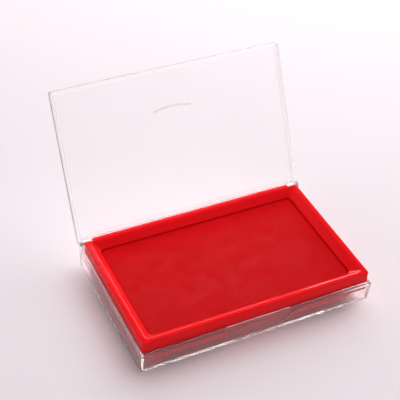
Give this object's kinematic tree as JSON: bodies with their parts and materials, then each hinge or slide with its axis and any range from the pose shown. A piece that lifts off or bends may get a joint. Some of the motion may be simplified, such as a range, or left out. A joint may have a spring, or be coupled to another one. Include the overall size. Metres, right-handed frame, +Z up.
{
  "type": "ink pad",
  "caption": "Flat rectangular ink pad: a cloth-covered foam pad in a raised red tray, inside a clear plastic case whose hinged lid stands open.",
  "frame": {"origin": "centre of the case's flat underside", "axes": "+X along the case's width, -Y the front with the thumb scoop, +Y the hinge side, +Z up"},
  "size_m": [0.134, 0.1248, 0.0909],
  "materials": {
    "clear_plastic": "clear polished polystyrene",
    "red_plastic": "soft gloss, moulded",
    "inked_cloth": "fine woven cloth, damp with red ink",
    "foam": "open-cell foam soaked with ink",
    "board": "matte sheet",
    "pin_steel": "drawn wire"
  },
  "bodies": {
    "case": {"case_base": "clear_plastic", "ink_tray": "red_plastic", "pad_board": "board", "ink_sponge": "foam", "pad_cloth": "inked_cloth"},
    "lid": {"case_lid": "clear_plastic", "hinge_pin_left": "pin_steel", "hinge_pin_right": "pin_steel"}
  },
  "joints": [
    {"name": "lid_hinge", "type": "hinge", "parent": "case", "child": "lid", "pos_m": [0, 0.0408, 0.0164], "axis": [1, 0, 0], "range_deg": [0, 117]}
  ]
}
